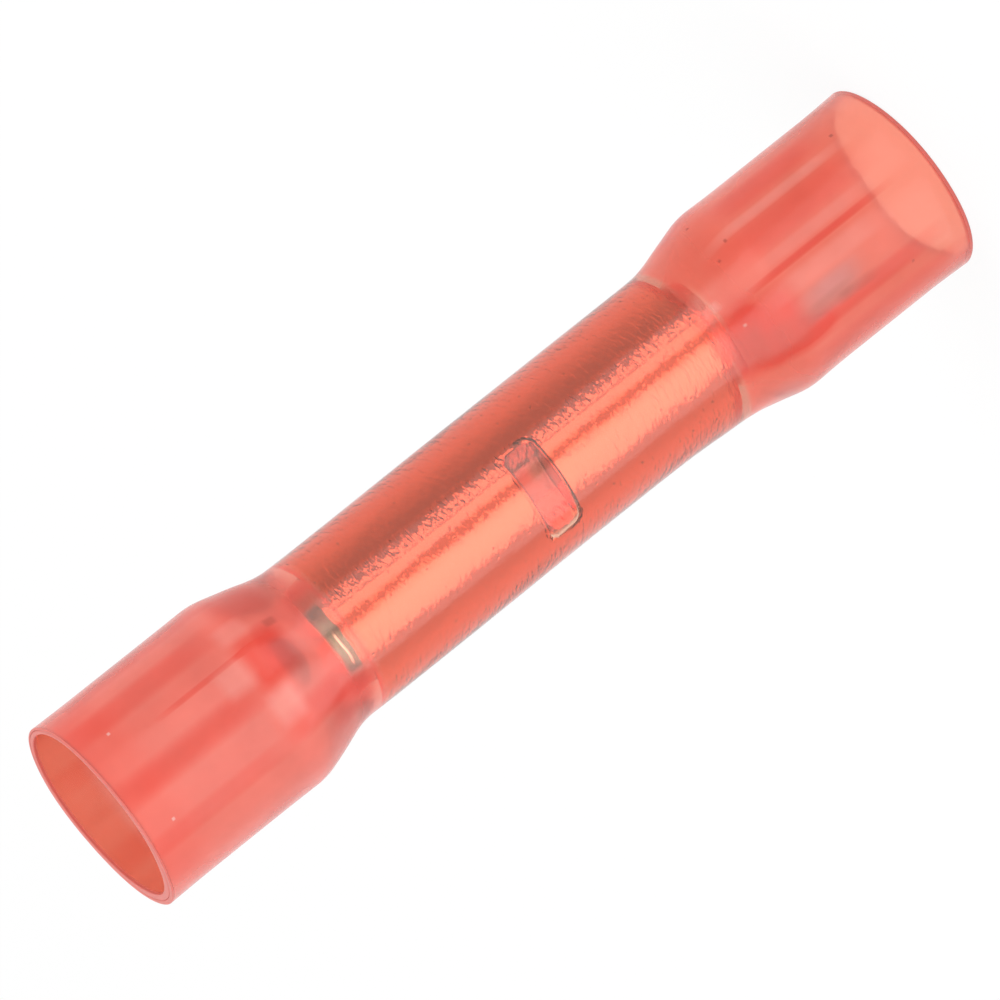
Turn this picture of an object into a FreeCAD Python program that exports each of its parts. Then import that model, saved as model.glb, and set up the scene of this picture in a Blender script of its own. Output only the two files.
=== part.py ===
# Heat-shrink butt connector for two thin wires, standing on one end.
#
# A tinned copper crimp barrel sits in the middle of a red see-through sleeve. The sleeve is a tube of
# two layers, a tough jacket outside and a hot-melt adhesive liner inside. It has been shrunk onto the
# barrel, so it is narrow over the barrel and keeps its wide, supplied size at both ends, where the
# insulated wires go in. Half way along, a strip of the barrel's wall is pressed in between two slits:
# it is the stop that both bared wires meet, and the recess is seen through the sleeve.
#
# Millimetres. +Z runs along the connector, z = 0 is the lower rim, and the pressed-in strip faces -Y.

import FreeCAD, Part
import os
import math
import Sketcher
from FreeCAD import Vector

OUTPUT_FOLDER = "parts"

# Driving dimensions: alias, value, what it is
SIZES = [
    ("overall_length", 32.0, "rim to rim along the sleeve"),
    ("flare_outer_diameter", 6.6, "sleeve's wide ends, outside"),
    ("flare_jacket_wall", 0.15, "jacket's wall at the wide ends"),
    ("flare_liner_wall", 0.17, "liner's wall at the wide ends"),
    ("waist_jacket_wall", 0.43, "jacket's wall over the barrel, thicker because it has shrunk"),
    ("waist_liner_wall", 0.355, "liner's wall over the barrel"),
    ("barrel_overrun", 0.37, "how far each end of the barrel runs past the narrow part"),
    ("cone_length", 2.0, "length of each taper between the narrow and wide parts"),
    ("shoulder_radius", 2.5, "rounding where a taper meets the wide part, on the outside"),
    ("neck_radius", 3.4, "rounding where a taper meets the narrow part, on the outside"),
    ("jacket_rim_radius", 0.04, "rounding of the jacket's cut rims"),
    ("liner_rim_radius", 0.035, "rounding of the liner's cut rims"),
    ("barrel_length", 16.2, "crimp barrel, end to end"),
    ("barrel_outer_diameter", 3.8, "crimp barrel, outside"),
    ("barrel_bore_diameter", 1.7, "crimp barrel, bore for the bared wire"),
    ("barrel_rise", 0.15, "how far the barrel's middle lies above the sleeve's middle"),
    ("end_bevel_length", 0.5, "bevel round each end of the barrel, along it"),
    ("end_bevel_depth", 0.2, "the same bevel, across it"),
    ("bore_lead_in", 0.12, "countersink at each mouth of the bore"),
    ("bevel_radius", 0.08, "rounding of the bevel's two edges"),
    ("stop_width", 1.15, "pressed-in strip, along the barrel, with its slits"),
    ("stop_chord", 2.65, "the recess over the strip, straight across the barrel"),
    ("stop_press_depth", 0.75, "how far the middle of the strip is pressed in"),
    ("stop_nose_radius", 1.0, "the strip's rounded underside"),
    ("stop_spread", 0.2, "how far the bore has spread on each side of the strip"),
    ("stop_offset", -0.55, "strip's middle from the barrel's middle, upwards"),
    ("slit_width", 0.06, "each of the two slits beside the strip"),
    ("slit_length", 2.2, "each slit, straight across the barrel"),
]

# Heights and radii worked out from the driving dimensions, as expressions
FLARE_RADIUS = "sizes.flare_outer_diameter / 2"
BARREL_RADIUS = "sizes.barrel_outer_diameter / 2"
BORE_RADIUS = "sizes.barrel_bore_diameter / 2"
BARREL_MIDDLE = "(sizes.overall_length / 2 + sizes.barrel_rise)"
BARREL_BOTTOM = BARREL_MIDDLE + " - sizes.barrel_length / 2"
BARREL_TOP = BARREL_MIDDLE + " + sizes.barrel_length / 2"
WAIST_BOTTOM = BARREL_BOTTOM + " + sizes.barrel_overrun"
WAIST_TOP = BARREL_TOP + " - sizes.barrel_overrun"
LOWER_SHOULDER = WAIST_BOTTOM + " - sizes.cone_length"
UPPER_SHOULDER = WAIST_TOP + " + sizes.cone_length"
STOP_MIDDLE = BARREL_MIDDLE + " + sizes.stop_offset"

# Wall built up from the barrel outwards, and from the flare's outside inwards
JACKET_WAIST_INNER = BARREL_RADIUS + " + sizes.waist_liner_wall"
JACKET_WAIST_OUTER = JACKET_WAIST_INNER + " + sizes.waist_jacket_wall"
JACKET_FLARE_INNER = FLARE_RADIUS + " - sizes.flare_jacket_wall"
LINER_FLARE_INNER = JACKET_FLARE_INNER + " - sizes.flare_liner_wall"


def make_document():
    """A new document with the driving dimensions in a spreadsheet called sizes."""
    doc = FreeCAD.newDocument("butt_connector")
    sheet = doc.addObject("Spreadsheet::Sheet", "sizes")
    for row, (alias, value, meaning) in enumerate(SIZES, start=1):
        sheet.set(f"A{row}", alias)
        sheet.set(f"B{row}", str(value))
        sheet.set(f"C{row}", meaning)
        sheet.setAlias(f"B{row}", alias)
    doc.recompute()
    return doc


def make_body(doc, label):
    body = doc.addObject("PartDesign::Body", label)
    body.Label = label
    body.Placement = FreeCAD.Placement()
    return body


def sketch_on(body, name, role, height=None):
    """A sketch on one of the body's own origin planes, raised along its normal by an expression."""
    plane = next(f for f in body.Origin.OriginFeatures if f.Role == role)
    sketch = body.newObject("Sketcher::SketchObject", name)
    sketch.AttachmentSupport = [(plane, "")]
    sketch.MapMode = "FlatFace"
    if height is not None:
        sketch.setExpression("AttachmentOffset.Base.z", height)
    return sketch


def place_point(sketch, line, end, name, across, along):
    """Ties one end of a line to two expressions, its distances from the sketch's origin."""
    for kind, expression in (("DistanceX", across), ("DistanceY", along)):
        index = sketch.addConstraint(Sketcher.Constraint(kind, -1, 1, line, end, 1.0))
        label = f"{name}_{kind[-1].lower()}"
        sketch.renameConstraint(index, label)
        sketch.setExpression(f"Constraints.{label}", expression)


def draw_outline(sketch, corners):
    """A closed outline of straight lines. Each corner is its name and two expressions.

    The corners start out round a circle, and their constraints put them in place.
    """
    count = len(corners)
    start = [
        Vector(5 + 3 * math.cos(2 * math.pi * i / count), 5 + 3 * math.sin(2 * math.pi * i / count), 0)
        for i in range(count)
    ]
    for i in range(count):
        sketch.addGeometry(Part.LineSegment(start[i], start[(i + 1) % count]))
    for i in range(count):
        sketch.addConstraint(Sketcher.Constraint("Coincident", i, 2, (i + 1) % count, 1))
    for i, (name, across, along) in enumerate(corners):
        place_point(sketch, i, 1, name, across, along)


def revolve(body, sketch, name):
    turned = body.newObject("PartDesign::Revolution", name)
    turned.Profile = sketch
    turned.ReferenceAxis = (sketch, ["V_Axis"])
    turned.Angle = 360.0
    body.Tip = turned
    body.Document.recompute()
    return turned


def rings_at(feature, radius, heights, tolerance=1e-4):
    """Names of the feature's full circles of that radius at any of those heights."""
    found = []
    for i, edge in enumerate(feature.Shape.Edges, start=1):
        curve = edge.Curve
        if not isinstance(curve, Part.Circle) or abs(curve.Radius - radius) > tolerance:
            continue
        if any(abs(curve.Center.z - height) < tolerance for height in heights):
            found.append(f"Edge{i}")
    return found


def round_rings(body, name, base, radius, heights, rounding):
    """Fillets the rings of one radius at the given heights. The rounding is an expression."""
    edges = rings_at(base, radius, heights)
    if not edges:
        raise RuntimeError(f"{name}: no ring of radius {radius:.3f} to round")
    fillet = body.newObject("PartDesign::Fillet", name)
    fillet.Base = (base, edges)
    fillet.setExpression("Radius", rounding)
    body.Tip = fillet
    body.Document.recompute()
    return fillet


def measured(doc, expressions):
    """The numbers that some expressions come to, read back from one row of a scratch sheet."""
    sheet = doc.addObject("Spreadsheet::Sheet", "readings")
    for i, expression in enumerate(expressions, start=1):
        sheet.set(f"A{i}", "=" + expression)
    doc.recompute()
    numbers = [float(sheet.get(f"A{i}")) for i in range(1, len(expressions) + 1)]
    doc.removeObject(sheet.Name)
    return numbers


def make_layer(doc, label, flare_outer, flare_inner, waist_outer, waist_inner, depths, rim_rounding):
    """One layer of the sleeve: a tube that is narrow over the barrel and wide at both ends.

    depths are how deep its two faces lie under the sleeve's outside, as expressions at the shoulder
    and the neck. A rounding shrinks with depth at a shoulder and grows with it at a neck, so that the
    wall stays even and the liner's outside is the jacket's inside.
    """
    body = make_body(doc, label)
    section = sketch_on(body, label + "_section", "XZ_Plane")
    faces = [("outer", flare_outer, waist_outer), ("inner", flare_inner, waist_inner)]
    stations = [
        ("rim_bottom", "flare", "0"),
        ("lower_shoulder", "flare", LOWER_SHOULDER),
        ("lower_neck", "waist", WAIST_BOTTOM),
        ("upper_neck", "waist", WAIST_TOP),
        ("upper_shoulder", "flare", UPPER_SHOULDER),
        ("rim_top", "flare", "sizes.overall_length"),
    ]
    corners = []
    for side, flare, waist in faces:
        run = [
            (f"{side}_{place}", flare if part == "flare" else waist, height)
            for place, part, height in stations
        ]
        corners += run if side == "outer" else run[::-1]
    draw_outline(section, corners)
    shape = revolve(body, section, label + "_turned")

    lower, bottom, top, upper, end = measured(
        doc, [LOWER_SHOULDER, WAIST_BOTTOM, WAIST_TOP, UPPER_SHOULDER, "sizes.overall_length"]
    )
    for (side, flare, waist), (shoulder_depth, neck_depth) in zip(faces, depths):
        flare_radius, waist_radius = measured(doc, [flare, waist])
        shape = round_rings(
            body, f"{label}_{side}_shoulders", shape, flare_radius, [lower, upper],
            f"sizes.shoulder_radius - ({shoulder_depth})",
        )
        shape = round_rings(
            body, f"{label}_{side}_necks", shape, waist_radius, [bottom, top],
            f"sizes.neck_radius + ({neck_depth})",
        )
    for side, flare, waist in faces:
        flare_radius = measured(doc, [flare])[0]
        shape = round_rings(
            body, f"{label}_{side}_rims", shape, flare_radius, [0.0, end], rim_rounding
        )
    return body


def make_jacket(doc):
    """The tough red outer layer of the sleeve."""
    outside = ("0", "0")
    inside = ("sizes.flare_jacket_wall", "sizes.waist_jacket_wall")
    return make_layer(
        doc, "heat_shrink_jacket", FLARE_RADIUS, JACKET_FLARE_INNER,
        JACKET_WAIST_OUTER, JACKET_WAIST_INNER, [outside, inside], "sizes.jacket_rim_radius",
    )


def make_liner(doc):
    """The hot-melt adhesive layer, between the jacket and the barrel."""
    outside = ("sizes.flare_jacket_wall", "sizes.waist_jacket_wall")
    inside = (
        "sizes.flare_jacket_wall + sizes.flare_liner_wall",
        "sizes.waist_jacket_wall + sizes.waist_liner_wall",
    )
    return make_layer(
        doc, "adhesive_liner", JACKET_FLARE_INNER, LINER_FLARE_INNER,
        JACKET_WAIST_INNER, BARREL_RADIUS, [outside, inside], "sizes.liner_rim_radius",
    )


def expect_change(before, after, grows):
    """Stops the build if a pad or pocket left the volume as it was."""
    change = after.Volume - before.Volume
    if (change > 0) != grows or abs(change) < 1e-6:
        raise RuntimeError(f"volume went from {before.Volume:.4f} to {after.Volume:.4f}")


def extrude_both_ways(body, kind, name, sketch, length):
    """A pad or pocket that runs half its length to each side of its sketch."""
    before = body.Shape.copy()
    feature = body.newObject("PartDesign::" + kind, name)
    feature.Profile = sketch
    feature.SideType = "Symmetric"
    feature.setExpression("Length", length)
    body.Tip = feature
    body.Document.recompute()
    expect_change(before, feature.Shape, grows=kind == "Pad")
    return feature


def turn_barrel(doc, body):
    """The plain tube, with a bevel round each end and a countersink in each mouth."""
    section = sketch_on(body, "barrel_section", "XZ_Plane")
    mouth_radius = BORE_RADIUS + " + sizes.bore_lead_in"
    bevel_inner = BARREL_RADIUS + " - sizes.end_bevel_depth"
    draw_outline(section, [
        ("bore_bottom", BORE_RADIUS, BARREL_BOTTOM + " + sizes.bore_lead_in"),
        ("mouth_bottom", mouth_radius, BARREL_BOTTOM),
        ("bevel_bottom_end", bevel_inner, BARREL_BOTTOM),
        ("bevel_bottom_side", BARREL_RADIUS, BARREL_BOTTOM + " + sizes.end_bevel_length"),
        ("bevel_top_side", BARREL_RADIUS, BARREL_TOP + " - sizes.end_bevel_length"),
        ("bevel_top_end", bevel_inner, BARREL_TOP),
        ("mouth_top", mouth_radius, BARREL_TOP),
        ("bore_top", BORE_RADIUS, BARREL_TOP + " - sizes.bore_lead_in"),
    ])
    shape = revolve(body, section, "barrel_turned")
    bottom, top, bevel, radius, inner = measured(doc, [
        BARREL_BOTTOM, BARREL_TOP, "sizes.end_bevel_length", BARREL_RADIUS, bevel_inner,
    ])
    shape = round_rings(
        body, "barrel_side_rounding", shape, radius, [bottom + bevel, top - bevel],
        "sizes.bevel_radius",
    )
    round_rings(
        body, "barrel_end_rounding", shape, inner, [bottom, top], "sizes.bevel_radius"
    )


def draw_circle_below(sketch, name, radius, drop):
    """A circle centred on the sketch's vertical axis, a given distance below the origin."""
    sketch.addGeometry(Part.Circle(Vector(0, -3, 0), Vector(0, 0, 1), 1))
    sketch.addConstraint(Sketcher.Constraint("PointOnObject", 0, 3, -2))
    for label, constraint, expression in (
        (name + "_radius", ("Radius", 0, 1.0), radius),
        (name + "_drop", ("DistanceY", 0, 3, -1, 1, 1.0), drop),
    ):
        index = sketch.addConstraint(Sketcher.Constraint(*constraint))
        sketch.renameConstraint(index, label)
        sketch.setExpression(f"Constraints.{label}", expression)


def press_stop(body):
    """Spreads the bore beside the strip, adds the strip's nose and takes away the recess over it."""
    spread_sketch = sketch_on(body, "stop_spread_section", "XY_Plane", STOP_MIDDLE)
    draw_circle_below(
        spread_sketch, "spread", f"{BORE_RADIUS} + sizes.stop_spread", "sizes.stop_spread * 3 / 4"
    )
    extrude_both_ways(body, "Pocket", "stop_spread", spread_sketch, "sizes.stop_width")

    nose_sketch = sketch_on(body, "stop_nose_section", "XY_Plane", STOP_MIDDLE)
    nose = "sizes.stop_nose_radius"
    # A half disc: its flat side lies in the wall and its round side stands into the bore
    nose_sketch.addGeometry(
        Part.ArcOfCircle(Part.Circle(Vector(0, -1, 0), Vector(0, 0, 1), 1), 0, math.pi)
    )
    nose_sketch.addGeometry(Part.LineSegment(Vector(-1, -1, 0), Vector(1, -1, 0)))
    for constraint in (
        ("Coincident", 0, 2, 1, 1),
        ("Coincident", 0, 1, 1, 2),
        ("Horizontal", 1),
        ("PointOnObject", 0, 3, 1),
        ("PointOnObject", 0, 3, -2),
    ):
        nose_sketch.addConstraint(Sketcher.Constraint(*constraint))
    radius = nose_sketch.addConstraint(Sketcher.Constraint("Radius", 0, 1.0))
    nose_sketch.renameConstraint(radius, "nose_radius")
    nose_sketch.setExpression("Constraints.nose_radius", nose)
    drop = nose_sketch.addConstraint(Sketcher.Constraint("DistanceY", 0, 3, -1, 1, 1.0))
    nose_sketch.renameConstraint(drop, "nose_drop")
    nose_sketch.setExpression(
        "Constraints.nose_drop", f"{BORE_RADIUS} - sizes.stop_press_depth + {nose}"
    )
    extrude_both_ways(body, "Pad", "stop_nose", nose_sketch, "sizes.stop_width")

    # The recess is a shallow round hollow through the two ends of the chord
    recess_sketch = sketch_on(body, "stop_recess_section", "XY_Plane", STOP_MIDDLE)
    floor = f"({BARREL_RADIUS} - sizes.stop_press_depth)"
    edge = f"sqrt(pow({BARREL_RADIUS}; 2) - pow(sizes.stop_chord / 2; 2))"
    sag = f"({edge} - {floor})"
    hollow = f"(pow(sizes.stop_chord / 2; 2) + pow({sag}; 2)) / (2 * {sag})"
    draw_circle_below(recess_sketch, "hollow", hollow, f"{floor} + {hollow}")
    extrude_both_ways(body, "Pocket", "stop_recess", recess_sketch, "sizes.stop_width")


def cut_slits(body):
    """Two thin slits that part the strip from the wall on either side of it."""
    half_length = "sizes.slit_length / 2"
    for name, side in (("lower", "-"), ("upper", "+")):
        height = (
            f"{STOP_MIDDLE} {side} (sizes.stop_width - sizes.slit_width) / 2"
        )
        sketch = sketch_on(body, f"{name}_slit_section", "XY_Plane", height)
        outer = f"-({BARREL_RADIUS})"
        draw_outline(sketch, [
            ("left_inner", "-" + half_length, "0"),
            ("right_inner", half_length, "0"),
            ("right_outer", half_length, outer),
            ("left_outer", "-" + half_length, outer),
        ])
        extrude_both_ways(body, "Pocket", f"{name}_slit", sketch, "sizes.slit_width")


def make_barrel(doc):
    """The tinned copper crimp barrel, with its pressed-in wire stop."""
    body = make_body(doc, "crimp_barrel")
    turn_barrel(doc, body)
    press_stop(body)
    cut_slits(body)
    return body


def check_document(doc):
    """Stops the build if any object failed to recompute."""
    for item in doc.Objects:
        if "Invalid" in item.State or "Error" in item.State:
            raise RuntimeError(f"{item.Label} did not recompute: {item.State}")


def export(bodies):
    """Writes each body's shape to its own file, named by its label."""
    for body in bodies:
        shape = body.Shape
        if shape.isNull() or not shape.isValid() or len(shape.Solids) != 1:
            raise RuntimeError(f"{body.Label} is not one valid solid")
    os.makedirs(OUTPUT_FOLDER, exist_ok=True)
    for body in bodies:
        body.Shape.exportStep(os.path.join(OUTPUT_FOLDER, body.Label + ".step"))
        box = body.Shape.BoundBox
        print(
            f"{body.Label}: {body.Shape.Volume:.3f} mm3, "
            f"{box.XLength:.3f} x {box.YLength:.3f} x {box.ZLength:.3f} mm from z {box.ZMin:.3f}"
        )


def main():
    doc = make_document()
    bodies = [make_jacket(doc), make_liner(doc), make_barrel(doc)]
    doc.recompute()
    check_document(doc)
    export(bodies)


main()
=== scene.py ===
# A heat-shrink butt connector: a red see-through sleeve shrunk onto a tinned crimp barrel.
#
# The sleeve is two layers, a jacket and a hot-melt lining, bonded to each other and to the barrel.
# Light crosses no air between them, so the faces where they meet are fully clear, and only the faces
# that meet air bend and tint it.
#
# Sizes are in metres; MM turns millimetres into metres.

import bpy
import math
import numpy as np
from mathutils import Matrix, Vector


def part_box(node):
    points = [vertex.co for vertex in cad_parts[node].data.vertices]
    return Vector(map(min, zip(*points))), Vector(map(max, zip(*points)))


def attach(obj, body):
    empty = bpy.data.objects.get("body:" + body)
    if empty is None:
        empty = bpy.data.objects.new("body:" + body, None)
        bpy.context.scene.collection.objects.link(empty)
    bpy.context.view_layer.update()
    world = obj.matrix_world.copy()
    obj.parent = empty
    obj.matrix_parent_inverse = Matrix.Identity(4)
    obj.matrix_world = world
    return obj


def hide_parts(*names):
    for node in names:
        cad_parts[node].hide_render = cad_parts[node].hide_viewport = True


MM = 0.001


# The frame, and the sizes that come from it

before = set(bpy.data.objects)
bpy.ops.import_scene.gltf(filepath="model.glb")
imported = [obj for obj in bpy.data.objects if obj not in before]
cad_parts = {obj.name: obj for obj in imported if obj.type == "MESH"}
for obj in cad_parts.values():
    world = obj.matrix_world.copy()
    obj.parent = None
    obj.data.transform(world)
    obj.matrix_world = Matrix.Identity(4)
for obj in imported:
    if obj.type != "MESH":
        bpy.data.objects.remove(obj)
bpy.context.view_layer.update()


def node_sizes(node):
    """Outer radius, lowest and highest point of a CAD node that is round about Z."""
    low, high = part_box(node)
    return (high[0] - low[0]) / 2, low[2], high[2]


FLARE_R, SLEEVE_BOTTOM, SLEEVE_TOP = node_sizes("heat_shrink_jacket")
FLARE_BOND_R, _, _ = node_sizes("adhesive_liner")
BARREL_R, BARREL_BOTTOM, BARREL_TOP = node_sizes("crimp_barrel")

LINING_WALL_AT_MOUTHS = 0.17 * MM
LINING_WALL_OVER_BARREL = 0.355 * MM
JACKET_WALL_OVER_BARREL = 0.43 * MM
FLARE_BORE_R = FLARE_BOND_R - LINING_WALL_AT_MOUTHS
WAIST_BOND_R = BARREL_R + LINING_WALL_OVER_BARREL
WAIST_R = WAIST_BOND_R + JACKET_WALL_OVER_BARREL
JACKET_RIM_ROUND = 0.04 * MM
LINING_RIM_ROUND = 0.035 * MM

# The barrel's ends run past the sleeve's narrow part, whose ends are the necks
OVERRUN = 0.37 * MM
CONE_LENGTH = 2.0 * MM
LOWER_NECK, UPPER_NECK = BARREL_BOTTOM + OVERRUN, BARREL_TOP - OVERRUN
SLEEVE_MIDDLE = (SLEEVE_BOTTOM + SLEEVE_TOP) / 2
BARREL_MIDDLE = (BARREL_BOTTOM + BARREL_TOP) / 2

BORE_R = 0.85 * MM
BORE_LEAST_R = 0.15 * MM
BEVEL_LENGTH = 0.5 * MM
BEVEL_DEPTH = 0.2 * MM
STOP_Z = BARREL_MIDDLE - 0.55 * MM
STOP_HALF_WIDTH = 0.575 * MM
STOP_HALF_ANGLE = math.asin(1.325 * MM / BARREL_R)
STOP_ANGLE = -math.pi / 2
STOP_CORNER_R = 0.34 * MM
STOP_FLOOR_R = 1.13 * MM


# The camera, at the photograph's angle

CAMERA_AZIMUTH = 18.0
CAMERA_ELEVATION = 16.6
CAMERA_ROLL = 128.65
CAMERA_DISTANCE = 262 * MM
PIXELS_PER_MM = 33.43
AIM_OFF_CENTRE = (6.98, 7.87)
PICTURE_PIXELS = 1000
SENSOR_WIDTH = 36


def make_camera():
    """Looks at the sleeve's middle from the given angles, rolled about its line of sight.

    The middle lies AIM_OFF_CENTRE pixels right of and above the picture's centre, so the camera aims
    that far to its left and below.
    """
    azimuth, elevation = math.radians(CAMERA_AZIMUTH), math.radians(CAMERA_ELEVATION)
    back = Vector((
        math.sin(azimuth) * math.cos(elevation),
        -math.cos(azimuth) * math.cos(elevation),
        math.sin(elevation),
    ))
    upright = back.to_track_quat("Z", "Y").to_matrix()
    turned = upright @ Matrix.Rotation(-math.radians(CAMERA_ROLL), 3, "Z")
    right, up = turned.col[0], turned.col[1]
    middle = Vector((0, 0, SLEEVE_MIDDLE))
    aim = middle - (right * AIM_OFF_CENTRE[0] + up * AIM_OFF_CENTRE[1]) / PIXELS_PER_MM * MM
    data = bpy.data.cameras.new("camera")
    data.sensor_width = SENSOR_WIDTH
    data.lens = SENSOR_WIDTH * CAMERA_DISTANCE / MM * PIXELS_PER_MM / PICTURE_PIXELS
    data.clip_start, data.clip_end = 0.01, 10
    camera = bpy.data.objects.new("camera", data)
    camera.matrix_world = Matrix.Translation(aim + back * CAMERA_DISTANCE) @ turned.to_4x4()
    bpy.context.scene.collection.objects.link(camera)
    bpy.context.scene.camera = camera


make_camera()


# Shader maths

class Link:
    """A node's output that can be used in arithmetic. Each operation adds its Math node."""

    def __init__(self, shader, socket):
        self.shader, self.socket = shader, socket

    def _math(self, operation, first, second):
        return self.shader.node("ShaderNodeMath", [first, second], operation=operation)

    def __add__(self, other):
        return self._math("ADD", self, other)

    def __sub__(self, other):
        return self._math("SUBTRACT", self, other)

    def __rsub__(self, other):
        return self._math("SUBTRACT", other, self)

    def __mul__(self, other):
        return self._math("MULTIPLY", self, other)

    def __truediv__(self, other):
        return self._math("DIVIDE", self, other)

    __radd__, __rmul__ = __add__, __mul__

    def power(self, exponent):
        return self._math("POWER", self, exponent)

    def band(self, low, high):
        """0 below low and 1 above high, with a soft rise between. low may be the larger."""
        return self.shader.node(
            "ShaderNodeMapRange", {"Value": self, "From Min": low, "From Max": high},
            interpolation_type="SMOOTHSTEP",
        )


class Shader:
    """A material's node tree, or the world's."""

    def __init__(self, owner):
        owner.use_nodes = True
        self.tree = owner.node_tree
        self.tree.nodes.clear()

    def node(self, kind, inputs=(), output=0, **settings):
        """Adds a node and returns its first output, or the one asked for by name or number.

        Its settings are set first, and then its sockets, by name, by number or in order.
        """
        made = self.tree.nodes.new(kind)
        for name, value in settings.items():
            if name == "stops":
                ramp = made.color_ramp
                while len(ramp.elements) < len(value):
                    ramp.elements.new(1.0)
                for element, (position, colour) in zip(ramp.elements, value):
                    element.position, element.color = position, (*colour, 1.0)
            else:
                setattr(made, name, value)
        pairs = inputs.items() if isinstance(inputs, dict) else enumerate(inputs)
        for key, value in pairs:
            if isinstance(value, Link):
                self.tree.links.new(value.socket, made.inputs[key])
            else:
                made.inputs[key].default_value = value
        return Link(self, made.outputs[output]) if made.outputs else None

    def mix(self, factor, first, second):
        """A colour between first and second. Sockets 6 and 7 are the Mix node's colours, 2 its result."""
        colours = [c if isinstance(c, Link) else (*c, 1.0) for c in (first, second)]
        return self.node(
            "ShaderNodeMix", {0: factor, 6: colours[0], 7: colours[1]}, 2, data_type="RGBA",
        )

    def coordinates(self, kind):
        """The point's place, "Object" for the object's own axes or "UV" for the flattened wall."""
        return self.node("ShaderNodeTexCoord", output=kind)

    def noise(self, where, scale, detail, **more):
        sockets = {"Vector": where, "Scale": scale, "Detail": detail, **more}
        return self.node("ShaderNodeTexNoise", sockets)


def material(name):
    made = bpy.data.materials.new(name)
    return made, Shader(made)


# Materials

def finish_material(shader, surface):
    shader.node("ShaderNodeOutputMaterial", {"Surface": surface})


def object_place(shader):
    """The point's x, y and z in millimetres."""
    place = shader.coordinates("Object")
    split = [shader.node("ShaderNodeSeparateXYZ", [place], output=axis) for axis in "XYZ"]
    return [part * (1 / MM) for part in split]


def azimuth_of(shader, x, y):
    """Degrees round the axis, 0 at -Y and growing towards +X."""
    turn = shader.node("ShaderNodeMath", [x, y * -1], operation="ARCTAN2")
    return turn * (180 / math.pi)


def patch(shader, place, azimuth, half_angle, height, half_height):
    """1 at a spot on the sleeve and 0 away from it, with a soft edge.

    The cosine of a point's angle from the spot is the point's x, y along the spot's direction, over
    its distance from the axis.
    """
    x, y, z = place
    turn = math.radians(azimuth)
    out = (x * x + y * y).power(0.5)
    toward = (x * math.sin(turn) - y * math.cos(turn)) / out
    near = [math.cos(math.radians(half_angle * share)) for share in (1.5, 0.3)]
    off = shader.node("ShaderNodeMath", [z - height], operation="ABSOLUTE")
    return toward.band(*near) * off.band(half_height * 1.4, half_height * 0.5)


def patches(shader, place, table):
    """The sum of the table's patches, each times its strength."""
    total = None
    for *spot, strength in table:
        one = patch(shader, place, *spot) * strength
        total = one if total is None else total + one
    return shader.node("ShaderNodeMath", [total, 1.0], operation="MINIMUM")


def clear_bond():
    """Faces where two layers are bonded, and light goes straight through."""
    made, shader = material("bonded_face")
    finish_material(shader, shader.node("ShaderNodeBsdfPrincipled", {
        "Base Color": (1, 1, 1, 1), "Alpha": 0.0, "Roughness": 0.5,
    }))
    return made


# Streaks and folds of deeper red in the sleeve, partly the drawn tube's own and partly painted shade and
# painted dark reflections: azimuth and half its width in degrees, height and half its length in
# millimetres, and strength
STREAKS_AND_SHADE = (
    (60, 7, 29.4, 2.6, 0.6), (39, 1.5, 27.6, 1.7, 0.7), (17, 7, 29.3, 2.9, 0.65), (-15, 5, 29.6, 2.7, 0.5),
    (88, 6, 28.4, 3.0, 0.4), (118, 10, 29.0, 3.4, 0.5), (171, 7, 29.0, 3.4, 0.4),
    (226, 9, 29.0, 3.4, 0.5), (290, 8, 29.0, 3.4, 0.45),
    (30, 14, 25.7, 0.8, 1.0), (-9, 8, 25.4, 1.3, 0.7), (-26, 10, 24.2, 0.9, 0.6), (70, 14, 25.2, 0.9, 0.5),
    (150, 15, 24.9, 1.0, 0.6), (262, 12, 24.7, 1.0, 0.7),
    (-1, 14, 7.0, 1.0, 1.0), (-3, 20, 7.9, 0.6, 1.0), (-19, 8, 6.6, 1.2, 0.8), (57, 14, 7.4, 0.8, 0.15),
    (104, 12, 6.9, 0.9, 0.6), (205, 14, 6.7, 0.9, 0.7),
    (70, 8, 4.2, 1.9, 0.6), (42, 9, 4.5, 2.6, 0.6), (20, 1.8, 4.6, 2.6, 0.9),
    (-19, 5, 4.4, 3.2, 0.7), (-44, 9, 3.4, 3.4, 0.4), (131, 8, 3.0, 3.4, 0.6),
    (188, 6, 3.0, 3.4, 0.5), (246, 9, 3.0, 3.4, 0.6),
)
# Painted highlights: pale pink patches, where the jacket is also made a little milkier
PALE_HIGHLIGHTS = (
    (30, 8, 27.0, 0.5, 0.3), (3, 9, 26.2, 0.5, 0.35), (53, 6, 26.1, 0.5, 0.25), (27, 3, 8.3, 0.3, 0.5),
    (7, 0.9, 7.8, 0.06, 0.7), (130, 10, 26.4, 0.6, 0.35), (220, 12, 6.0, 0.7, 0.2), (9, 5, 4.6, 2.0, 0.25),
    (55, 3, 4.5, 2.4, 0.35), (27, 3, 4.4, 2.0, 0.2),
)
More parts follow.
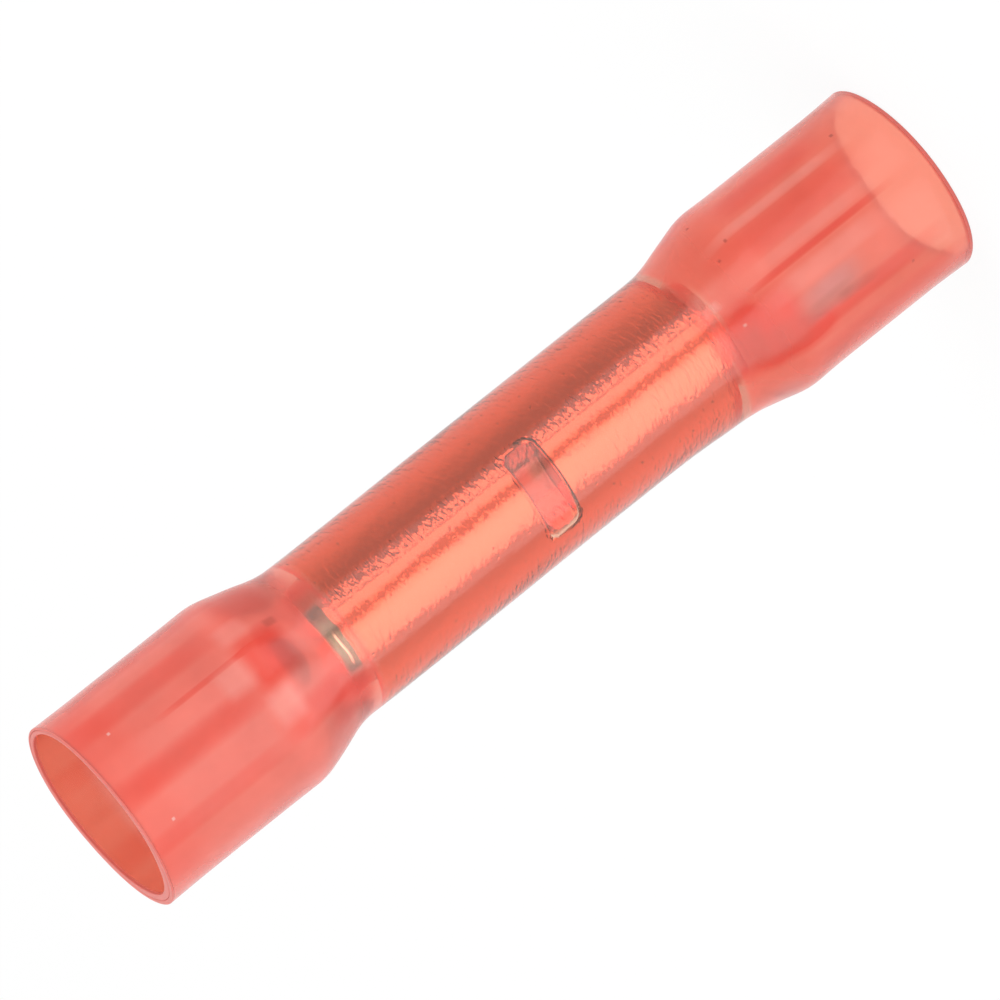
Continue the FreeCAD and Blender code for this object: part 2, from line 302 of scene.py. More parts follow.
# Grey patches of painted shade, and brown scratches with broader brown patches of painted shade
GREY_SHADE_PATCHES = ((-7, 8, 5.1, 1.1, 0.42), (-4, 6, 4.6, 1.0, 0.25), (160, 6, 27.9, 0.8, 0.3))
SCRATCHES_AND_SHADE = (
    (-11, 4, 5.2, 0.9, 0.33), (-14.5, 3, 4.2, 0.7, 0.33), (46, 2.5, 24.95, 0.2, 0.4),
    (-13, 8, 6.8, 0.7, 0.2), (-8, 12, 8.0, 0.5, 0.28),
)
WHITE_SPECKS = ((50.5, 0.8, 30.88, 0.05, 0.7), (-6.6, 0.8, 31.0, 0.05, 0.7), (115, 0.8, 3.4, 0.05, 0.7))
DARK_SPECKS = (
    (63, 1.0, 1.73, 0.06, 0.6), (80, 0.9, 6.88, 0.05, 0.6), (52, 1.0, 6.57, 0.05, 0.6),
    (46, 0.8, 7.12, 0.05, 0.6), (-25, 0.8, 2.19, 0.05, 0.5), (190, 1.0, 3.4, 0.07, 0.6),
)
# Where the barrel's bare ends show clearly through the necks
CLEAR_SPOTS = ((14, 27, 23.6, 0.35, 1.0), (18, 24, 8.4, 0.2, 0.7), (190, 27, 23.6, 0.35, 1.0))

# The jacket's colours, in linear light
LOWER_RED, UPPER_RED, RED_OVER_BARREL = (0.985, 0.205, 0.14), (0.99, 0.225, 0.17), (0.97, 0.56, 0.40)
STREAK_AND_SHADE_RED, HIGHLIGHT_PINK, SHADE_GREY = (0.91, 0.07, 0.04), (0.96, 0.46, 0.40), (0.58, 0.29, 0.28)
SCRATCH_AND_SHADE_BROWN, DARK_SPECK, WHITE_SPECK = (0.35, 0.10, 0.07), (0.25, 0.05, 0.04), (1.0, 0.9, 0.87)
DARK_DUST, WHITE_DUST = (0.25, 0.07, 0.05), (1.0, 0.85, 0.8)

# Roughness and transmission of the jacket where it is clear, and where it is milky
CLEAR_FINISH, MILKY_FINISH = (0.1, 0.92), (0.25, 0.35)


def red_jacket():
    """See-through red plastic, streaked along its length as drawn tube is. Part of the deeper red is
    painted shade and painted dark reflections, the pale pink patches are painted highlights, and the grey
    and broad brown patches are painted shade.

    It is milky on the open ends and the necks. Heights are in millimetres. The dust is a few specks
    that a Voronoi pattern picks by chance.
    """
    made, shader = material("red_jacket")
    place = object_place(shader)
    z = place[2]
    where = shader.coordinates("Object")
    stuck = z.band(8.55, 8.8) * z.band(23.25, 22.95)
    clear_spots = patches(shader, place, CLEAR_SPOTS)
    over_barrel = shader.node("ShaderNodeMath", [stuck, clear_spots], operation="MAXIMUM")
    pale = patches(shader, place, PALE_HIGHLIGHTS)
    cells = {"Vector": where, "Scale": 420.0}
    near = shader.node("ShaderNodeTexVoronoi", cells)
    kind = shader.node(
        "ShaderNodeSeparateColor", [shader.node("ShaderNodeTexVoronoi", cells, "Color")]
    )
    colour = shader.mix(z.band(10, 22), LOWER_RED, UPPER_RED)
    for mask, paint in (
        (over_barrel, RED_OVER_BARREL),
        # Deeper red streaks: partly the tube's own, partly painted shade and painted dark reflections
        (patches(shader, place, STREAKS_AND_SHADE), STREAK_AND_SHADE_RED),
        # Painted highlights
        (pale, HIGHLIGHT_PINK),
        # Grey painted shade, then brown scratches and broader brown painted shade
        (patches(shader, place, GREY_SHADE_PATCHES), SHADE_GREY),
        (patches(shader, place, SCRATCHES_AND_SHADE), SCRATCH_AND_SHADE_BROWN),
        (patches(shader, place, DARK_SPECKS), DARK_SPECK),
        (patches(shader, place, WHITE_SPECKS), WHITE_SPECK),
        (near.band(0.045, 0.02) * kind.band(0.55, 0.6), DARK_DUST),
        (near.band(0.04, 0.02) * kind.band(0.3, 0.25), WHITE_DUST),
    ):
        colour = shader.mix(mask, colour, paint)
    ripples = shader.noise(where, 700.0, 2.0) + shader.noise(where, 5000.0, 3.0) * 0.08
    bump = shader.node("ShaderNodeBump", {
        "Height": ripples, "Strength": 1.0, "Distance": 0.03 * MM,
    })
    clear, milky = (
        shader.node("ShaderNodeBsdfPrincipled", {
            "Base Color": colour, "Roughness": roughness, "IOR": 1.5,
            "Transmission Weight": transmission, "Normal": bump,
        })
        for roughness, transmission in (CLEAR_FINISH, MILKY_FINISH)
    )
    cloudy = shader.noise(where, 330.0, 3.0)
    necks = (1 - stuck) * (1 - clear_spots * 0.8)
    open_ends = z.band(24.8, 26.4) + z.band(7.6, 6.0)
    fogged = z.band(23.8, 24.4) * z.band(27.2, 26.0) * (1 - clear_spots)
    milk = necks * 0.42 + open_ends * (cloudy.band(0.25, 0.7) * 0.26 + 0.05) + pale * 0.2 + fogged * 0.3
    finish_material(shader, shader.node("ShaderNodeMixShader", {0: milk, 1: clear, 2: milky}))
    return made


def hot_melt():
    """The lining's free inner wall, deeper red inside the upper mouth as painted shade, and yellower
    inside the lower.
    """
    made, shader = material("hot_melt_adhesive")
    z = object_place(shader)[2]
    # The deep red inside the upper mouth is painted shade
    colour = shader.mix(z.band(29.8, 31.0), (0.985, 0.9, 0.82), (1.0, 0.28, 0.15))
    colour = shader.mix(z.band(3.0, 1.8), colour, (0.85, 0.565, 0.35))
    finish_material(shader, shader.node("ShaderNodeBsdfPrincipled", {
        "Base Color": colour,
        "Roughness": 0.1,
        "IOR": 1.5,
        "Transmission Weight": 1.0,
    }))
    return made


def clear_window():
    """The lining's face over an air gap, at the wire stop and the barrel's ends, faintly red."""
    made, shader = material("lining_over_gap")
    finish_material(shader, shader.node("ShaderNodeBsdfPrincipled", {
        "Base Color": (1.0, 0.80, 0.74, 1),
        "Roughness": 0.08,
        "IOR": 1.5,
        "Transmission Weight": 1.0,
    }))
    return made


def cut_edge():
    """The sleeve's cut rims, matt and half clear."""
    made, shader = material("cut_edge")
    finish_material(shader, shader.node("ShaderNodeBsdfPrincipled", {
        "Base Color": (0.86, 0.20, 0.16, 1),
        "Roughness": 0.4,
        "IOR": 1.5,
        "Transmission Weight": 0.4,
    }))
    return made


# The barrel's colours, in linear light. Several are painted light: the bare band's shade and glint by the
# upper end, and the wire stop's shade, lit end and burr highlight
BARREL_END, SHADED_BARE_TIN, DEEPER_BAND_SHADE, GLINT = (
    (0.93, 0.42, 0.35), (0.23, 0.33, 0.31), (0.15, 0.06, 0.04), (0.88, 0.95, 0.92),
)
ADHESIVE_FILM, PIT = (0.965, 0.21, 0.14), (0.35, 0.10, 0.06)
STOP_FLOOR_SHADE, STOP_HOLLOW_SHADE, STOP_LIT_END = (0.38, 0.085, 0.085), (0.22, 0.15, 0.14), (0.9, 0.11, 0.10)
STOP_SHADE, STOP_CREASE_SHADE, BURR_HIGHLIGHT = (0.16, 0.07, 0.10), (0.12, 0.03, 0.03), (0.9, 0.26, 0.19)


def tinned_copper():
    """Tin, tumbled bright. The film of red adhesive stuck to the barrel's side colours it there. Painted
    shade darkens the bare band by the upper end and the wire stop, the stop's one end is painted lit, and
    a painted glint and a painted highlight on the burr are added.

    turn is in degrees round the axis, and into, z and out in millimetres: in from the wire stop's
    outline, up, and out from the axis.
    """
    made, shader = material("tinned_copper")
    x, y, z = object_place(shader)
    out = (x * x + y * y).power(0.5)
    turn = azimuth_of(shader, x, y)
    into = shader.node("ShaderNodeAttribute", output="Fac", attribute_name="into_stop")
    pressed = into.band(0.0, 0.05)
    # Painted highlight along the burr on the wire stop's lower edge
    burr = into.band(-0.03, 0.0) * into.band(0.08, 0.04) * z.band(15.5, 15.3)
    # Painted shade: a dark line just outside the wire stop's lower edge
    crease_shade = into.band(-0.12, -0.08) * into.band(0.0, -0.03) * z.band(15.7, 15.4)
    shaded = pressed * into.band(0.2, 0.12) * z.band(15.85, 15.95)
    edge = z + shader.noise(shader.coordinates("Object"), 1100.0, 2.0) * 0.2 - 0.1
    # A bare band by the upper end, only on the side facing the camera, painted dark as shade, with a
    # painted glint
    front = turn.band(-26, -16) * turn.band(50, 40)
    bare = edge.band(23.28, 23.36) * edge.band(23.9, 23.78) * front
    glint = edge.band(23.5, 23.54) * edge.band(23.62, 23.58) * turn.band(-18, -10) * turn.band(22, 10)
    # Painted shade: the grey-green hollow in the wire stop
    hollow_shade = pressed * turn.band(0, 12) * turn.band(34, 22) * z.band(15.7, 15.3)
    film = out.band(1.60, 1.68) * (1 - pressed) * (1 - bare)
    wrap = shader.coordinates("UV")
    pits = shader.node("ShaderNodeTexVoronoi", {"Vector": wrap, "Scale": 2.2})
    pit = pits.band(0.14, 0.04)
    colour = shader.mix(bare, BARREL_END, SHADED_BARE_TIN)
    for mask, paint in (
        # Painted deeper shade on one side of the bare band
        (bare * turn.band(18, 36), DEEPER_BAND_SHADE),
        # Painted glint
        (glint, GLINT),
        # The wire stop's floor, darker red as painted shade
        (pressed, STOP_FLOOR_SHADE),
        (hollow_shade * 0.8, STOP_HOLLOW_SHADE),
        # Painted light: the wire stop's brighter red end
        (pressed * turn.band(-16, -26), STOP_LIT_END),
        (film, ADHESIVE_FILM),
        (shaded * 0.8, STOP_SHADE),
        (crease_shade * 0.8, STOP_CREASE_SHADE),
        (burr * 0.7, BURR_HIGHLIGHT),
        (pit * 0.4, PIT),
    ):
        colour = shader.mix(mask, colour, paint)
    stretched = shader.node("ShaderNodeMapping", {"Vector": wrap, "Scale": (2.6, 7.0, 1.0)})
    ridges = shader.noise(stretched, 1.0, 2.0, Roughness=0.5, Distortion=0.3)
    rough_side = turn.band(29, 34) * turn.band(51, 44) * 0.75 + 0.45
    bump = shader.node("ShaderNodeBump", {
        "Height": ridges * rough_side - pit * 0.1, "Strength": 1.0, "Distance": 0.055 * MM,
    })
    finish_material(shader, shader.node("ShaderNodeBsdfPrincipled", {
        "Base Color": colour,
        "Metallic": 1.0,
        "Roughness": 0.1,
        "Normal": bump,
    }))
    return made


# Surfaces

def even_angles(count):
    return np.linspace(-np.pi, np.pi, count, endpoint=False)


def waves(angle, z, table):
    """The sum of size times cos(turns angle + z / length + phase), over the table's waves."""
    return sum(
        size * MM * np.cos(turns * angle + z / (length * MM) + phase)
        for size, turns, length, phase in table
    )


def rounded_ramp(x, first_round, second_round):
    """Runs from 0 to 1 as x does, straight between and level outside.

    Each corner is a parabola (x + h)^2 / 4h over the h each side of it, so that the slope has no jump.
    """
    def corner(u, h):
        return np.where(u < -h, 0.0, np.where(u > h, u, (u + h) ** 2 / (4 * h)))

    return corner(x, first_round) - corner(x - 1, second_round)


def past_neck(z):
    """How far along its taper a height lies, 0 at the neck and 1 at the shoulder."""
    return np.maximum(LOWER_NECK - z, z - UPPER_NECK) / CONE_LENGTH


# How far each corner of a taper is rounded, as a share of the taper's length
OUTSIDE_NECK_ROUND, BOND_NECK_ROUND, SHOULDER_ROUND = 0.26, 0.33, 0.19
LOWER_CONTACT_ROUND, UPPER_CONTACT_ROUND = 0.12, 0.40


def outside(z):
    ramp = rounded_ramp(past_neck(z), OUTSIDE_NECK_ROUND, SHOULDER_ROUND)
    return WAIST_R + (FLARE_R - WAIST_R) * ramp


def bond(z):
    ramp = rounded_ramp(past_neck(z), BOND_NECK_ROUND, SHOULDER_ROUND)
    return WAIST_BOND_R + (FLARE_BOND_R - WAIST_BOND_R) * ramp


LOWER_CONTACT = LOWER_NECK + LOWER_CONTACT_ROUND * CONE_LENGTH
UPPER_CONTACT = UPPER_NECK - UPPER_CONTACT_ROUND * CONE_LENGTH


def inside(z):
    """The lining leaves the barrel sharply at the lower neck, and gently at the upper one."""
    lower = rounded_ramp((LOWER_NECK - z) / CONE_LENGTH, LOWER_CONTACT_ROUND, SHOULDER_ROUND)
    upper = rounded_ramp((z - UPPER_NECK) / CONE_LENGTH, UPPER_CONTACT_ROUND, SHOULDER_ROUND)
    return BARREL_R + (FLARE_BORE_R - BARREL_R) * (lower + upper)


# Each wave's size in millimetres, its number round the axis, the height in millimetres over which it
# turns by one radian, and its phase
OUTER_WAVES = (
    (0.009, 2, 9.0, 0.4), (0.006, 3, 3.1, 1.3), (0.005, 5, 1.9, 2.9), (0.003, 4, -1.3, 0.2),
)
NECK_WAVES = ((0.026, 3, 1.4, 0.9), (0.020, 4, -0.9, 2.2), (0.014, 7, 0.8, 0.3))
INNER_WAVES = ((0.018, 2, 5.0, 1.9), (0.012, 5, 1.6, 0.6))
THIN_SIDE = math.radians(CAMERA_AZIMUTH)
FULL_SIDE = THIN_SIDE + math.pi
FULLNESS, FULL_HEIGHT, FULL_LENGTH = 0.11 * MM, 8.6 * MM, 1.5 * MM
LIP_LENGTH = 1.3 * MM
UPPER_SLIMNESS, LOWER_SLIMNESS = 0.015 * MM, 0.045 * MM
UPPER_SHIFT, LOWER_SHIFT = 0.09 * MM, 0.04 * MM
RIM_REACH = 2 * MM


def smooth_step(x):
    x = np.clip(x, 0, 1)
    return x * x * (3 - 2 * x)


def outer_swell(angle, z):
    """The outer wall's unevenness, only inwards on the flares, and livelier round the necks.

    The flares are slimmer than their lips, the lower one more so, and one side of the lower neck is
    fuller.
    """
    fall = sum(size for size, *_ in OUTER_WAVES) * MM
    neck = np.exp(-((past_neck(z) - 0.3) / 0.5) ** 2)
    full = np.exp(-((z - FULL_HEIGHT) / FULL_LENGTH) ** 2)
    full = full * np.maximum(np.cos(angle - FULL_SIDE), 0) ** 2
    to_rim = np.minimum(SLEEVE_TOP - z, z - SLEEVE_BOTTOM)
    slim = np.where(z > SLEEVE_MIDDLE, UPPER_SLIMNESS, LOWER_SLIMNESS)
    slim = slim * smooth_step(to_rim / LIP_LENGTH) * smooth_step(past_neck(z) - 0.7)
    return (
        waves(angle, z, OUTER_WAVES) - fall - slim
        + neck * waves(angle, z, NECK_WAVES) + FULLNESS * full
    )


def off_centre(angle, z):
    """The bore's shift sideways towards the mouths, which makes the wall thin on one side.

    The bonded face between the two layers takes half of it.
    """
    shift = np.where(z > SLEEVE_MIDDLE, UPPER_SHIFT, LOWER_SHIFT)
    return shift * smooth_step(past_neck(z) / 2) * np.cos(angle - THIN_SIDE)


def inner_swell(angle, z):
    """The lining's unevenness, where it is free of the barrel."""
    free = np.clip((past_neck(z) - 0.1) / 0.7, 0, 1)
    return free * waves(angle, z, INNER_WAVES)


def rim_drop(angle, z):
    """How far a height near a mouth is moved in along the axis, because the rims aren't cut true."""
    wave = 0.015 * (1 + np.cos(2 * angle + 0.6)) + 0.006 * (1 + np.cos(5 * angle + 2.0))
    below_top = np.clip(1 - (SLEEVE_TOP - z) / RIM_REACH, 0, 1)
    above_bottom = np.clip(1 - (z - SLEEVE_BOTTOM) / RIM_REACH, 0, 1)
    return wave * MM * (above_bottom ** 2 - below_top ** 2)


def sleeve_heights():
    """Heights along the sleeve, closer together over the tapers and the wire stop."""
    tapers = [
        np.linspace(end - 1.5 * MM, end + 1.5 * MM, 37)
        for end in (LOWER_NECK - 1 * MM, UPPER_NECK + 1 * MM)
    ]
    stop = np.linspace(STOP_Z - 0.66 * MM, STOP_Z + 0.66 * MM, 34)
    bevels = [LOWER_CONTACT, UPPER_CONTACT, BARREL_BOTTOM, BARREL_TOP]
    straight = np.linspace(SLEEVE_BOTTOM + 0.12 * MM, SLEEVE_TOP - 0.12 * MM, 49)
    return np.unique(np.round(np.concatenate([*tapers, stop, bevels, straight]), 9))


def layer_section(outer, inner, rounding):
    """One layer's closed section: radii, heights, the wall of each point, and whether it is inside.

    It runs up the outer wall (0), over the upper rim (2), down the inner wall (1) and under the lower
    rim (2). A rim's two edges are quarter circles of the given rounding.
    """
    z = sleeve_heights()
    turn = np.linspace(0, np.pi / 2, 5)
    parts = [(outer(z), z, 0, np.zeros(len(z)))]
    for end, way in ((SLEEVE_TOP, 1), (SLEEVE_BOTTOM, -1)):
        big, small = outer(end), inner(end)
        edge_r = np.concatenate([
            big - rounding + rounding * np.cos(turn), small + rounding - rounding * np.sin(turn),
        ])
        edge_z = np.concatenate([
            end - way * rounding * (1 - np.sin(turn)), end - way * rounding * (1 - np.cos(turn)),
        ])
        within = np.repeat([0.0, 1.0], 5)
        parts.append((edge_r[::way], edge_z[::way], 2, within[::way]))
        if way == 1:
            parts.append((inner(z)[::-1], z[::-1], 1, np.ones(len(z))))
    radii, heights, within = (np.concatenate([part[i] for part in parts]) for i in (0, 1, 3))
    walls = np.concatenate([np.full(len(part[0]), part[2]) for part in parts])
    return radii, heights, walls, within


def ring_grid(radii, heights, angles):
    """Radius, height and angle at each section point (row) and angle (column)."""
    angle, z = np.meshgrid(angles, heights)
    return np.repeat(radii[:, None], len(angles), axis=1), z, angle


def points(r, z, angle):
    return np.stack([r * np.cos(angle), r * np.sin(angle), z], axis=-1)


def closed_mesh(name, grid, materials, slots=None, wrap=None, into=None):
    """Makes a piece of a grid that closes on itself both ways: face i, j joins its next row and column.

    slots holds each face's material, wrap each face corner's place on the flattened wall, and into
    each point's distance in from the wire stop's outline, in millimetres.
    """
    rows, columns = grid.shape[:2]
    index = np.arange(rows * columns).reshape(rows, columns)
    next_row = np.roll(index, -1, axis=0)
    faces = np.stack([
        index, np.roll(index, -1, axis=1), np.roll(next_row, -1, axis=1), next_row,
    ], axis=-1).reshape(-1, 4)
    mesh = bpy.data.meshes.new(name)
    mesh.vertices.add(rows * columns)
    mesh.vertices.foreach_set("co", grid.reshape(-1))
    mesh.loops.add(faces.size)
    mesh.loops.foreach_set("vertex_index", faces.reshape(-1))
    mesh.polygons.add(len(faces))
    mesh.polygons.foreach_set("loop_start", np.arange(0, faces.size, 4))
    for made in materials:
        mesh.materials.append(made)
    if slots is not None:
        mesh.polygons.foreach_set("material_index", slots.reshape(-1).astype(np.int32))
    mesh.polygons.foreach_set("use_smooth", np.ones(len(faces), dtype=bool))
    if wrap is not None:
        layer = mesh.uv_layers.new(name="wrap")
        layer.data.foreach_set("uv", wrap.reshape(-1))
    if into is not None:
        layer = mesh.attributes.new("into_stop", "FLOAT", "POINT")
        layer.data.foreach_set("value", into.reshape(-1).astype(np.float32))
    mesh.update(calc_edges=True)
    mesh.validate()
    piece = bpy.data.objects.new(name, mesh)
    bpy.context.scene.collection.objects.link(piece)
    return piece


def into_stop(angle, z):
    """Distance in from the wire stop's outline, a rectangle with round corners laid on the barrel."""
    turn = np.abs((angle - STOP_ANGLE + np.pi) % (2 * np.pi) - np.pi)
    across = turn * BARREL_R - (STOP_HALF_ANGLE * BARREL_R - STOP_CORNER_R)
    along = np.abs(z - STOP_Z) - (STOP_HALF_WIDTH - STOP_CORNER_R)
    beyond = np.hypot(np.maximum(across, 0), np.maximum(along, 0))
    return STOP_CORNER_R - beyond - np.minimum(np.maximum(across, along), 0)


SLEEVE_COLUMNS = 256


def sleeve_angles():
    return even_angles(SLEEVE_COLUMNS)


def face_middles(heights, angles):
    """Angle and height of the middle of each face of a ring grid."""
    step = 2 * np.pi / len(angles)
    return np.meshgrid(angles + step / 2, (heights + np.roll(heights, -1)) / 2)


def make_jacket():
    radii, heights, walls, within = layer_section(outside, bond, JACKET_RIM_ROUND)
    r, z, angle = ring_grid(radii, heights, sleeve_angles())
    within = within[:, None]
    r = r + (1 - within) * outer_swell(angle, z) + within * 0.5 * off_centre(angle, z)
    z = z + rim_drop(angle, z)
    same_wall = walls == np.roll(walls, -1)
    by_row = np.select([(walls == 1) & same_wall, walls == 0], [1, 0], 2)
    slots = np.repeat(by_row[:, None], r.shape[1], axis=1)
    return closed_mesh("sleeve_jacket", points(r, z, angle), [JACKET, BOND, EDGE], slots)


# Keeps the lining's faces off its neighbours', so that no two lie in one place
BOND_GAP = 0.001 * MM

# The lining stands off the barrel over the wire stop
WINDOW_RISE, WINDOW_EDGE = 0.03 * MM, 0.1 * MM


def make_lining():
    """Clear where it is bonded to the jacket or to the barrel, and not over the wire stop."""
    radii, heights, walls, within = layer_section(
        lambda z: bond(z) - BOND_GAP, lambda z: inside(z) + BOND_GAP, LINING_RIM_ROUND
    )
    r, z, angle = ring_grid(radii, heights, sleeve_angles())
    over_gap = np.clip(into_stop(angle, z) / WINDOW_EDGE + 0.6, 0, 1)
    within = within[:, None]
    r = r + (0.5 + 0.5 * within) * off_centre(angle, z)
    r = r + within * (inner_swell(angle, z) + over_gap * WINDOW_RISE)
    z = z + rim_drop(angle, z)
    same_wall = walls == np.roll(walls, -1)
    face_angle, face_z = face_middles(heights, sleeve_angles())
    over_barrel = (face_z > BARREL_BOTTOM) & (face_z < BARREL_TOP)
    over_side = (face_z > LOWER_CONTACT) & (face_z < UPPER_CONTACT)
    over_side &= into_stop(face_angle, face_z) < -0.04 * MM
    on_jacket = ((walls == 0) & same_wall)[:, None]
    on_inside = ((walls == 1) & same_wall)[:, None]
    slots = np.select(
        [on_jacket | (on_inside & over_side), on_inside & over_barrel, on_inside], [1, 2, 0], 3
    )
    return closed_mesh("adhesive_lining", points(r, z, angle), [ADHESIVE, BOND, WINDOW, EDGE], slots)


# The wire stop's steep side, its rolled upper edge, and the burr on its lower one
STOP_DROP = 0.06 * MM
ROLL_DEPTH, ROLL_WIDTH = 0.035 * MM, 0.2 * MM
BURR_HEIGHT, BURR_PLACE, BURR_WIDTH = 0.016 * MM, 0.03 * MM, 0.025 * MM
TORN_WAVES = ((0.016, 23, 0.05, 0.3), (0.012, 41, -0.04, 1.7), (0.01, 67, 0.03, 0.9))


def pressed_in(angle, z):
    """How deep the barrel's side is pressed in at the wire stop.

    The strip's floor lies at its least radius times cos(1.5 a)^(-2/3), a from its middle, which bends
    inwards half as much as the barrel bends out. It drops steeply at its outline. The upper edge is
    rolled over a little way out, the lower one has a thin burr, and the two ends are torn.
    """
    turn = (angle - STOP_ANGLE + np.pi) % (2 * np.pi) - np.pi
    bend = np.cos(np.clip(1.5 * np.abs(turn), 0, 1.35))
    floor = np.minimum(STOP_FLOOR_R * bend ** (-2 / 3), BARREL_R)
    into = into_stop(angle, z)
    depth = (BARREL_R - floor) * smooth_step(into / STOP_DROP)
    upper = z > STOP_Z
    out = np.maximum(-into, 0)
    sides = np.abs(turn) < STOP_HALF_ANGLE
    rolled = ROLL_DEPTH * np.clip(1 - out / ROLL_WIDTH, 0, 1) ** 2 * (upper & (into < STOP_DROP))
    burr = BURR_HEIGHT * np.exp(-((out - BURR_PLACE) / BURR_WIDTH) ** 2) * ~upper
    ends = np.exp(-((np.abs(turn) - STOP_HALF_ANGLE * 0.88) / 0.12) ** 2) * (into > -0.12 * MM)
    return depth + (rolled - burr) * sides + ends * waves(angle, z, TORN_WAVES)


def barrel_angles():
    """Close together over the wire stop, and wider apart behind it."""
    edge = 1.1 * STOP_HALF_ANGLE
    front = STOP_ANGLE + np.linspace(-edge, edge, 121)
    back = STOP_ANGLE + np.linspace(edge, 2 * np.pi - edge, 150)
    return np.concatenate([front, back[1:-1]])


BARREL_WAVES = ((0.0030, 3, 2.3, 0.7), (0.0024, 7, 1.1, 2.1), (0.0016, 13, 0.5, 0.3))


def make_barrel():
    """The barrel's section runs up its side, over the upper bevel and mouth, down the bore and back.

    cap holds the radius and the distance in from the barrel's end of each point of that end. The
    bore's wall is pressed in with the strip, as far as its least radius allows.
    """
    low, high = BARREL_BOTTOM + BEVEL_LENGTH, BARREL_TOP - BEVEL_LENGTH
    fine = STOP_Z + np.arange(-0.84, 0.845, 0.02) * MM
    side = np.unique(np.round(np.concatenate([np.linspace(low, high, 61), fine]), 9))
    bore = np.unique(np.round(np.concatenate([np.linspace(low, high, 31), fine[::4]]), 9))[::-1]
    lead = 0.12 * MM
    end_r = BARREL_R - BEVEL_DEPTH
    cap = np.array([
        (BARREL_R - 0.012 * MM, BEVEL_LENGTH - 0.05 * MM),
        (BARREL_R - 0.1 * MM, BEVEL_LENGTH / 2),
        (end_r + 0.04 * MM, 0.07 * MM),
        (end_r, 0.02 * MM),
        (end_r - 0.05 * MM, 0.0),
        ((end_r + BORE_R + lead) / 2, 0.0),
        (BORE_R + lead + 0.02 * MM, 0.0),
        (BORE_R + lead - 0.02 * MM, 0.015 * MM),
        (BORE_R + 0.03 * MM, lead - 0.02 * MM),
        (BORE_R, lead + 0.04 * MM),
    ])
    cap_r, cap_z = cap.T
    radii = np.concatenate([
        np.full(len(side), BARREL_R), cap_r, np.full(len(bore), BORE_R), cap_r[::-1],
    ])
    heights = np.concatenate([side, BARREL_TOP - cap_z, bore, BARREL_BOTTOM + cap_z[::-1]])
    on_side = np.zeros((len(radii), 1))
    on_side[:len(side)] = 1
    in_bore = np.zeros((len(radii), 1))
    in_bore[len(side) + len(cap):len(side) + len(cap) + len(bore)] = 1
    angles = barrel_angles()
    r, z, angle = ring_grid(radii, heights, angles)
    dents = waves(angle, z, BARREL_WAVES) - sum(size for size, *_ in BARREL_WAVES) * MM
    pressed = pressed_in(angle, z)
    r = r + on_side * (dents - pressed) - in_bore * np.minimum(pressed, BORE_R - BORE_LEAST_R)
    step = np.hypot(np.diff(radii, append=radii[0]), np.diff(heights, append=heights[0]))
    along = np.concatenate([[0], np.cumsum(step)]) / MM
    around = BARREL_R / MM * np.append(angles, angles[0] + 2 * np.pi)
    rows, columns = np.meshgrid(np.arange(len(radii)), np.arange(len(angles)), indexing="ij")
    corners = ((rows, columns), (rows, columns + 1), (rows + 1, columns + 1), (rows + 1, columns))
    wrap = np.stack([
        np.stack([around[column], along[row]], axis=-1) for row, column in corners
    ], axis=2)
    into = np.where(on_side > 0, into_stop(angle, z) / MM, -1.0)
    return closed_mesh("tinned_barrel", points(r, z, angle), [METAL], wrap=wrap, into=into)


# The floor, the world and the lights

FLOOR_WIDTH = 6.0


def pale_floor():
    """White, with a little of the object's shadow, for what sees it straight, mirrored or through."""
    made, shader = material("pale_floor")
    straight, mirrored, through = [
        shader.node("ShaderNodeLightPath", output=f"Is {kind} Ray")
        for kind in ("Camera", "Glossy", "Transmission")
    ]
    direct = shader.node("ShaderNodeMath", [straight + mirrored, through], operation="MAXIMUM")
    paint = shader.node("ShaderNodeBsdfDiffuse", {"Color": (0.85, 0.85, 0.85, 1)})
    white = shader.node("ShaderNodeEmission", {"Color": (1, 1, 1, 1), "Strength": 1.0})
    share = shader.node("ShaderNodeMath", [direct * 0.9, 0.9], operation="MINIMUM")
    both = shader.node("ShaderNodeMixShader", {0: share, 1: paint, 2: white})
    shader.node("ShaderNodeOutputMaterial", {"Surface": both})
    return made


def make_floor():
    mesh = bpy.data.meshes.new("floor")
    low, high = -FLOOR_WIDTH / 2, FLOOR_WIDTH / 2
    mesh.from_pydata(
        [(low, low, 0), (high, low, 0), (high, high, 0), (low, high, 0)], [], [(0, 1, 2, 3)]
    )
    mesh.materials.append(pale_floor())
    floor = bpy.data.objects.new("floor", mesh)
    bpy.context.scene.collection.objects.link(floor)


def make_world():
    world = bpy.data.worlds.new("studio")
    bpy.context.scene.world = world
    shader = Shader(world)
    sky = shader.node("ShaderNodeBackground", {"Color": (1, 1, 1, 1), "Strength": 1.0})
    shader.node("ShaderNodeOutputWorld", {"Surface": sky})


# Radius and height of the tent's rings, in millimetres
TENT_PROFILE = ((4.5, 0.2), (12.0, 2.0), (12.0, 30.5))
TENT_SIDES = 96

# Radiance of the tent's wall by its azimuth from the camera's. The dark steps are black flags, the
# bright ones are lit cloth, and the rest is nearly as white as the floor.
TENT_STEPS = (
    (-180, 0.9), (-120, 1.0), (-95, 0.78), (-72, 0.72), (-66, 0.9), (-60, 2.3), (-37, 2.7), (-20, 2.7),
    (-10, 2.0), (-6, 0.85), (3, 0.8), (8, 2.0), (26, 2.1), (34, 1.8), (41, 0.42), (66, 0.4),
    (90, 0.6), (120, 0.88), (160, 0.88), (180, 0.9),
)


